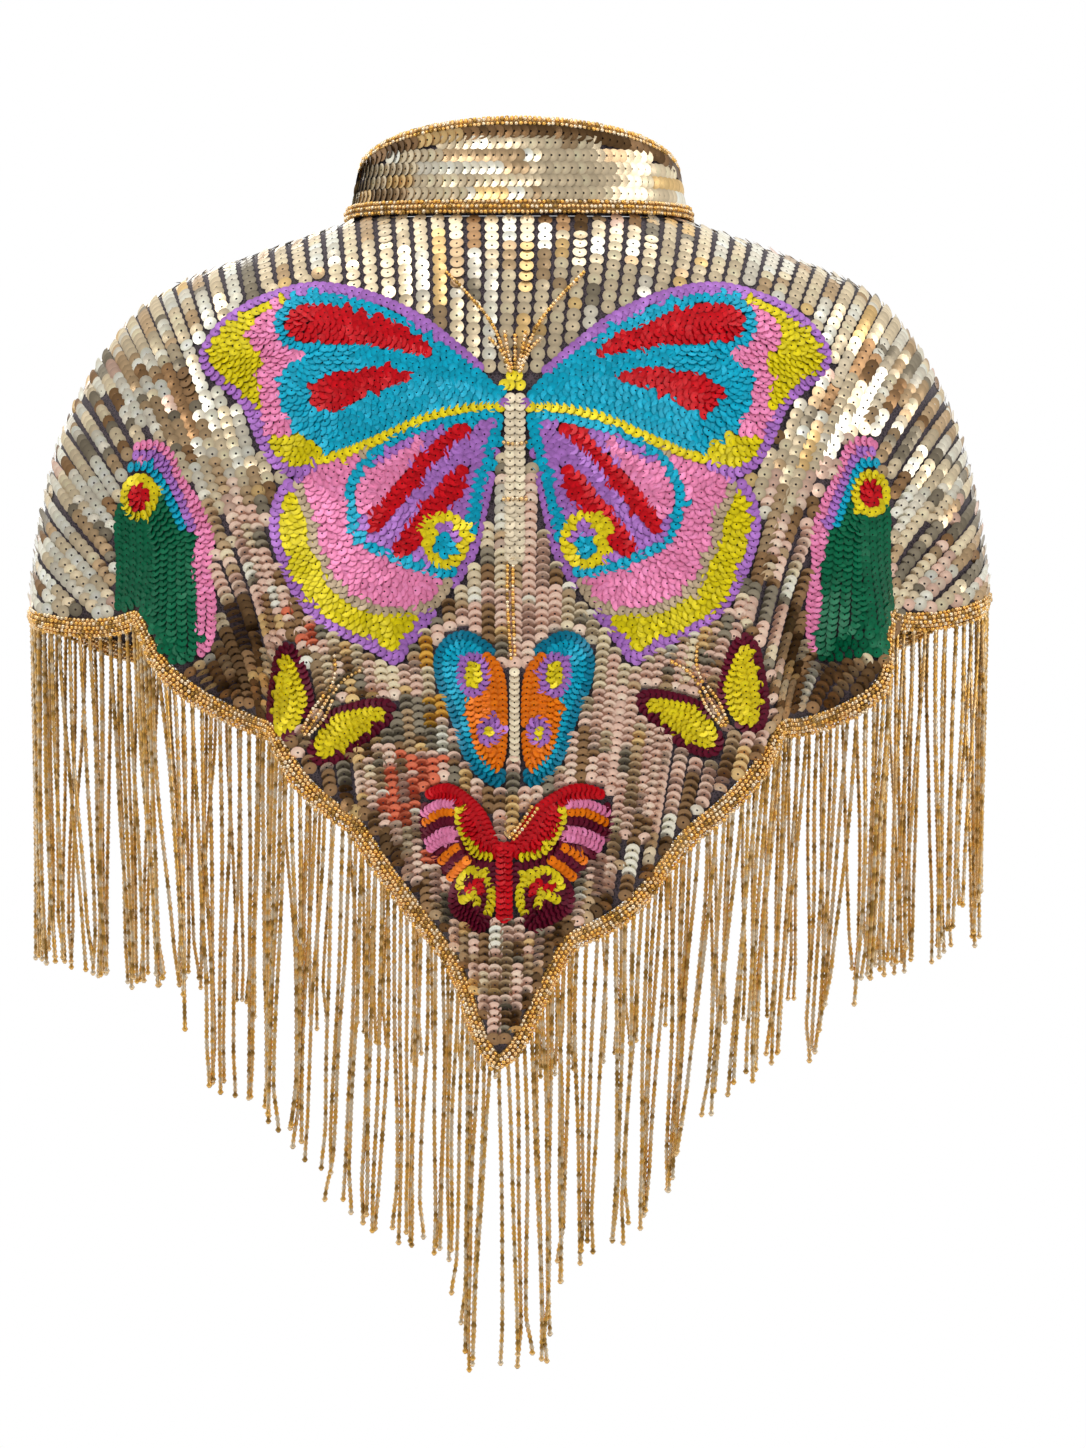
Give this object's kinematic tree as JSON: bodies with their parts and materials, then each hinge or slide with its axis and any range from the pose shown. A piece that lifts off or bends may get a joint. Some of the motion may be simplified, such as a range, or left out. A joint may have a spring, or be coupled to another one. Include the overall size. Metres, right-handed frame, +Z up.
{
  "type": "shoulder cape",
  "caption": "Short sequinned shoulder cape with a stand collar, a scalloped hem falling to a point at the back, and a long bead fringe, held in its worn form.",
  "frame": {"origin": "centre of the ring of the collar seam, where the cape sits round the neck on the shoulders", "axes": "+Z up, -Y the way the wearer faces, +X to the wearer's left"},
  "size_m": [0.561, 0.2692, 0.7005],
  "materials": {
    "sequinned_net": "brown-grey net covered with metallic gold sequins, with coloured sequin butterflies on the back",
    "bead_piping": "rows of small antique gold seed beads",
    "bead_fringe": "strings of small gold seed beads with a larger bead at each end",
    "hook_metal": "plain bent wire"
  },
  "bodies": {
    "root": {"back": "sequinned_net", "front_left": "sequinned_net", "front_right": "sequinned_net", "collar": "sequinned_net", "collar_top_trim": "bead_piping", "collar_base_trim": "bead_piping", "hem_trim_back": "bead_piping", "hem_trim_left": "bead_piping", "hem_trim_right": "bead_piping", "fringe_back_left": "bead_fringe", "fringe_back_right": "bead_fringe", "fringe_front_left": "bead_fringe", "fringe_front_right": "bead_fringe", "collar_hook": "hook_metal", "collar_eye": "hook_metal"}
  },
  "joints": []
}
